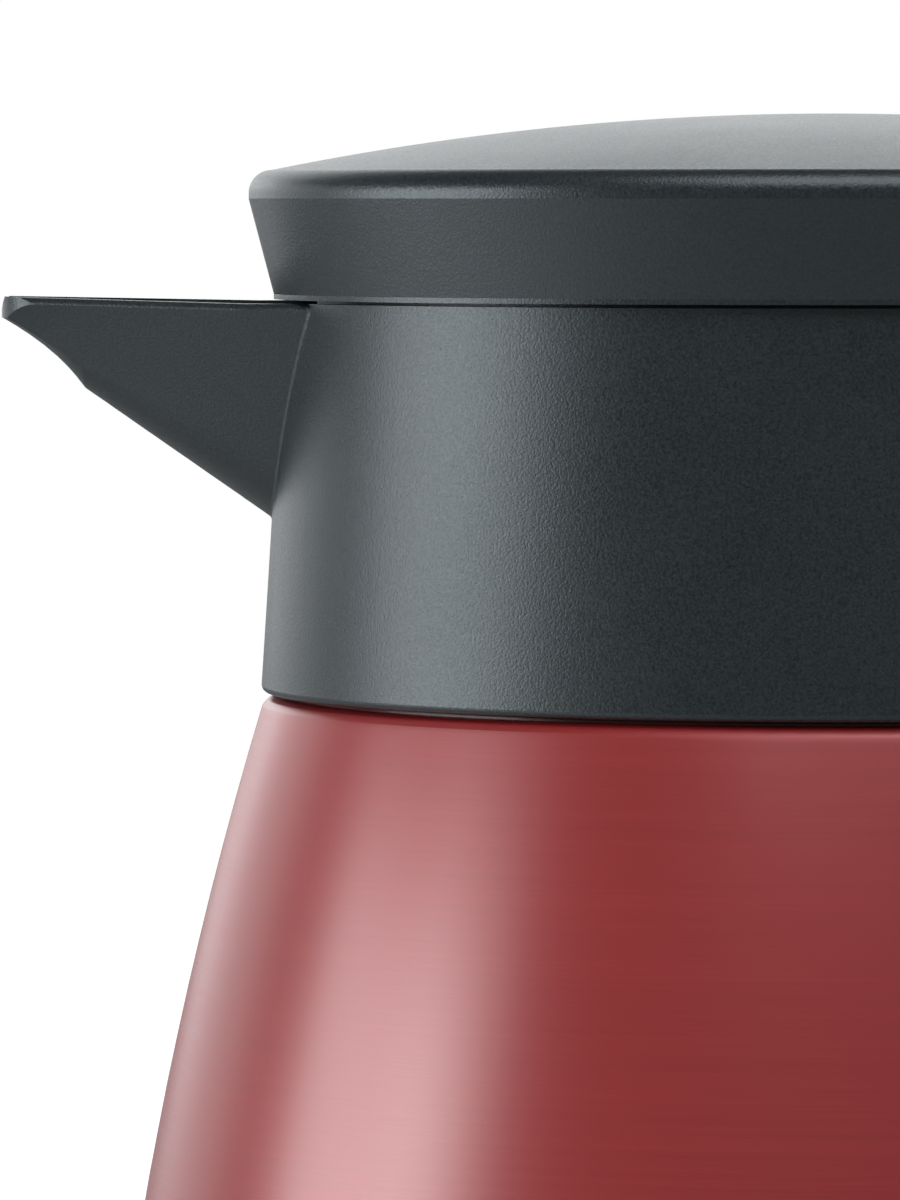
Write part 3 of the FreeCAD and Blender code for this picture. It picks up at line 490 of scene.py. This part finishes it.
cover_low, cover_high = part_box("lid_cover")
rim_radius = cover_high.x
rim_round = 2.0 * mm
dome_rise = 4.95 * mm
cover_plate = 1.8 * mm
cover_lip = 2.0 * mm
lip_inset = 2.3 * mm
arc_steps = 24
turn_steps = 144
lip_radius = rim_radius - lip_inset
crest = cover_high.z - dome_rise
crest_radius = rim_radius - rim_round
dome_radius = (crest_radius ** 2 + dome_rise ** 2) / (2 * dome_rise)
lip_end = cover_low.z
parting = lip_end + cover_lip
bm = bmesh.new()
rim_low = bm.verts.new((rim_radius, 0, parting))
rim_high = bm.verts.new((rim_radius, 0, crest - rim_round))
draw_line(bm, [rim_low, rim_high])
crest_edge = drawn_arc(bm, rim_high, (crest_radius, 0, crest - rim_round), -math.pi / 2, arc_steps)
dome_centre = (0, 0, cover_high.z - dome_radius)
top = drawn_arc(bm, crest_edge, dome_centre, -math.asin(crest_radius / dome_radius), arc_steps)
top.co.x = 0
inside = [
    (0, cover_high.z - cover_plate), (lip_radius - cover_plate, crest - cover_plate),
    (lip_radius - cover_plate, lip_end), (lip_radius, lip_end), (lip_radius, parting),
]
draw_line(bm, [top] + [bm.verts.new((x, 0, z)) for x, z in inside] + [rim_low])
turn_round(bm, turn_steps)
finish_piece(bm, "lid_cover_dome", moulded, "lid", "charcoal_plastic", "lid_cover", crease=6)


# Lever ridges: three moulded beads across the thumb lever, partly sunk into its sloping top.
# They are part of the lid's moulding and share its grain.
def grip_ridge(bm, x, z, half, radius):
    """A bead across the lever: a ball whose two halves are drawn apart."""
    place = Matrix.Translation((x, 0, z)) @ Matrix.Rotation(math.pi / 2, 4, "X")
    ball = bmesh.ops.create_uvsphere(bm, u_segments=20, v_segments=12, radius=radius, matrix=place)["verts"]
    for corner in ball:
        if abs(corner.co.y) > radius / 100:
            corner.co.y += math.copysign(half, corner.co.y)


lever_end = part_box("lid_base")[1].x
lever_middle = hinge.x + 8.5 * mm
end_top = hinge.z + 6.4 * mm
middle_top = hinge.z + 5.2 * mm
slope = (end_top - middle_top) / (lever_end - lever_middle)
ridge_pitch = 2.0 * mm
ridge_sunk = 0.25 * mm
ridge_half = 4.6 * mm
ridge_radius = 0.6 * mm
bm = bmesh.new()
for number in (1, 2, 3):
    out = number * ridge_pitch
    grip_ridge(bm, lever_middle + out, middle_top + slope * out - ridge_sunk, ridge_half, ridge_radius)
bmesh.ops.recalc_face_normals(bm, faces=bm.faces)
finish_piece(bm, "lever_ridges", rubbed_charcoal, "lid", "charcoal_plastic")


# Lid foam and plug foam: expanded foam cut to fill the lid and the plug, so that less heat gets out.
# The cut faces show open cells, and the edges are a little soft.
def cut_foam():
    material, spot = start_finish("cut_foam")
    small = {"Vector": spot, "Scale": 1100.0}
    large = {"Vector": spot, "Scale": 420.0}
    cells = spot.add("ShaderNodeTexVoronoi", {"feature": "DISTANCE_TO_EDGE"}, small)
    beads = spot.add("ShaderNodeTexVoronoi", {"feature": "F1"}, large)
    return close_finish(
        material, spot,
        Base_Color=beads.tint((0.82, 0.80, 0.74), (0.66, 0.64, 0.58)),
        Roughness=cells * 0.2 + 0.8,
        Normal=spot.raised(cells * 1.5 + beads * 0.5, 0.6, 0.0002),
    )


white_foam = cut_foam()


def foam_outline(node, edge):
    inner, outer, low, high = ring_box(node)
    return [
        (inner, low + edge), (inner + edge, low), (outer - edge, low), (outer, low + edge),
        (outer, high - edge), (outer - edge, high), (inner + edge, high), (inner, high - edge),
    ]


def disc_outline(node, edge):
    outer, low, high = ring_box(node)[1:]
    return [
        (0, low), (outer - edge, low), (outer, low + edge),
        (outer, high - edge), (outer - edge, high), (0, high),
    ]


foam_edge = 0.5
lid_disc = turned_mesh(disc_outline("lid_foam", foam_edge))
finish_piece(lid_disc, "lid_foam_disc", white_foam, "lid", "foam", "lid_foam")
plug_ring = turned_mesh(foam_outline("plug_foam", foam_edge))
finish_piece(plug_ring, "plug_foam_ring", white_foam, "plug", "foam", "plug_foam")


# Plug: the stopper under the lid, a flanged well and a cup in smooth dark-grey plastic.
# A screw holds it, a coil presses it down, and its silicone ring closes the flask's mouth.
def plug_plastic():
    material, spot = start_finish("plug_plastic")
    flow = spot.stretched(60, 60, 240).noise(1, 3)
    fine = spot.noise(4200, 2)
    return close_finish(
        material, spot,
        Base_Color=flow.tint((0.050, 0.054, 0.056), (0.075, 0.080, 0.083)),
        Roughness=fine * 0.12 + flow * 0.08 + 0.28,
        Normal=spot.raised(fine, 0.2, 0.00004),
    )


dress(plug_plastic(), "plug_body", "plug_cup")
dress(bright_steel, "plug_screw")
clear_silicone = silicone("clear_silicone", (0.60, 0.60, 0.58), (0.74, 0.73, 0.70))
mouth_ring = turned_mesh(seal_outline("plug_seal", seal_lip))
finish_piece(mouth_ring, "plug_seal_ring", clear_silicone, "plug", "silicone", "plug_seal")
coil_low, coil_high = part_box("plug_spring")
coil_turns = 6
coil_wire = 1.2 * mm
coil_radius = 8.1 * mm
ahead = Vector((0, 1, 0))
first = Vector((coil_radius, 0, coil_low.z + coil_wire / 2))
climb = coil_high.z - coil_low.z - coil_wire
bm = coiled_wire(first, coil_wire, Vector((0, 0, first.z)), up, coil_turns, climb,
                 coil_wire, coil_wire, ahead)
coil = finish_piece(bm, "plug_spring_coil", wire_steel, "lid", "steel", "plug_spring")
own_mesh(coil)


# Studio: a pale floor with a painted pool of light to the left, which only the pot sees, a backdrop that the
# camera sees as white, and lamps.
# The main soft box stands to the left, as the broad highlight on the shell and collar shows.
# The floor is open under the pot, so that some light reaches the base too.
# Middle of the painted pool of light on the floor, and the distances where it is full and where it has faded
# out.
painted_light_middle = (-0.48, -0.15, 0)
painted_light_start = 0.16
painted_light_end = 0.36


def studio_floor():
    material = bpy.data.materials.new("studio_floor")
    material.use_nodes = True
    material.node_tree.nodes.clear()
    start = Wire(material.node_tree)
    seen = start.add("ShaderNodeLightPath", output="Is Camera Ray")
    glow = start.add("ShaderNodeEmission", values={"Color": (1, 1, 1, 1), "Strength": 0.97})
    shade = start.add("ShaderNodeBsdfDiffuse", values={"Color": (0.2, 0.2, 0.2, 1)})
    white = start.add("ShaderNodeAddShader", values={0: glow, 1: shade})
    spot = start.add("ShaderNodeTexCoord", output="Object")
    off = start.add("ShaderNodeVectorMath", {"operation": "DISTANCE"}, {0: spot, 1: painted_light_middle}, "Value")
    # Painted light: the floor is painted white in a round pool to the left and half as bright elsewhere,
    # seen only in the pot's reflections and bounced light.
    painted_light_tone = off.fade(painted_light_end, painted_light_start).tint((0.5, 0.5, 0.5), (1, 1, 1), 0, 1)
    paint = start.add("ShaderNodeBsdfDiffuse", values={"Color": painted_light_tone})
    above = start.add("ShaderNodeMixShader", values={0: seen, 1: paint, 2: white})
    from_below = start.add("ShaderNodeNewGeometry", output="Backfacing")
    clear = start.add("ShaderNodeBsdfTransparent")
    surface = start.add("ShaderNodeMixShader", values={0: from_below, 1: above, 2: clear})
    start.add("ShaderNodeOutputMaterial", values={"Surface": surface})
    return material


bm = bmesh.new()
floor_drop = 0.1 * mm
floor_radius = 5.0
below_pad = Matrix.Translation((0, 0, -floor_drop))
bmesh.ops.create_circle(bm, cap_ends=False, radius=floor_radius, segments=96, matrix=below_pad)
hole = bmesh.ops.extrude_edge_only(bm, edges=bm.edges[:])["geom"]
foot_edge = 4.0 * mm
hole_share = (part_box("base_cap")[1].x - foot_edge) / floor_radius
bmesh.ops.scale(bm, vec=(hole_share, hole_share, 1), verts=corners_of(hole))
bm.normal_update()
bmesh.ops.reverse_faces(bm, faces=[face for face in bm.faces if face.normal.z < 0])
floor_mesh = bpy.data.meshes.new("floor")
bm.to_mesh(floor_mesh)
bm.free()
floor_mesh.materials.append(studio_floor())
floor = bpy.data.objects.new("floor", floor_mesh)
bpy.context.scene.collection.objects.link(floor)

# The camera sees the room as white; the pot sees a faint even glow, with more from behind and from below.
world = bpy.data.worlds.new("studio")
bpy.context.scene.world = world
world.use_nodes = True
world.node_tree.nodes.clear()
air = Wire(world.node_tree)
seen = air.add("ShaderNodeLightPath", output="Is Camera Ray")
way = air.add("ShaderNodeTexCoord", output="Generated")
behind = way.along("Y").fade(0.70, 0.95)
under = way.along("Z").fade(-0.2, -0.6)
room = behind * 0.8 + under * 0.6 + 0.13
level = seen + (1 - seen) * room
backdrop = air.add("ShaderNodeBackground", values={"Color": (1, 1, 1, 1), "Strength": level})
air.add("ShaderNodeOutputWorld", values={"Surface": backdrop})


def soft_box(name, place, aim, width, height, brightness):
    """A rectangular lamp; its brightness is what a white card facing it would show at its surface."""
    lamp = bpy.data.lights.new(name, "AREA")
    lamp.shape = "RECTANGLE"
    lamp.size = width
    lamp.size_y = height
    lamp.energy = brightness * math.pi * width * height
    lamp.color = (0.93, 0.975, 1.0)
    box = bpy.data.objects.new(name, lamp)
    box.location = place
    box.rotation_euler = (Vector(aim) - Vector(place)).to_track_quat("-Z", "Y").to_euler()
    box.visible_camera = False
    bpy.context.scene.collection.objects.link(box)


soft_box("left_soft_box", (-1.0, -0.10, 0.215), (0, 0, 0.16), 0.66, 0.40, 3.75)
soft_box("left_fill", (-0.92, -0.34, 0.38), (0, 0, 0.16), 0.36, 0.24, 2.0)
soft_box("left_back_panel", (-0.75, 0.85, 0.26), (0, 0, 0.16), 0.70, 0.46, 0.78)
soft_box("top_soft_box", (0.2, -0.7, 1.3), (0, 0, 0.1), 1.5, 1.0, 2.4)
soft_box("back_panel", (0, 1.5, 0.7), (0, 0, 0.2), 2.2, 0.9, 0.8)

camera = bpy.data.cameras.new("camera")
camera.sensor_width = 36
camera.lens = 272.6
eye = bpy.data.objects.new("camera", camera)
eye.location = (0, -0.8, 0.1932)
eye.rotation_euler = Vector((-0.0418, 1, -0.0441)).to_track_quat("-Z", "Y").to_euler()
bpy.context.scene.collection.objects.link(eye)
bpy.context.scene.camera = eye
bpy.context.scene.view_settings.view_transform = "Standard"
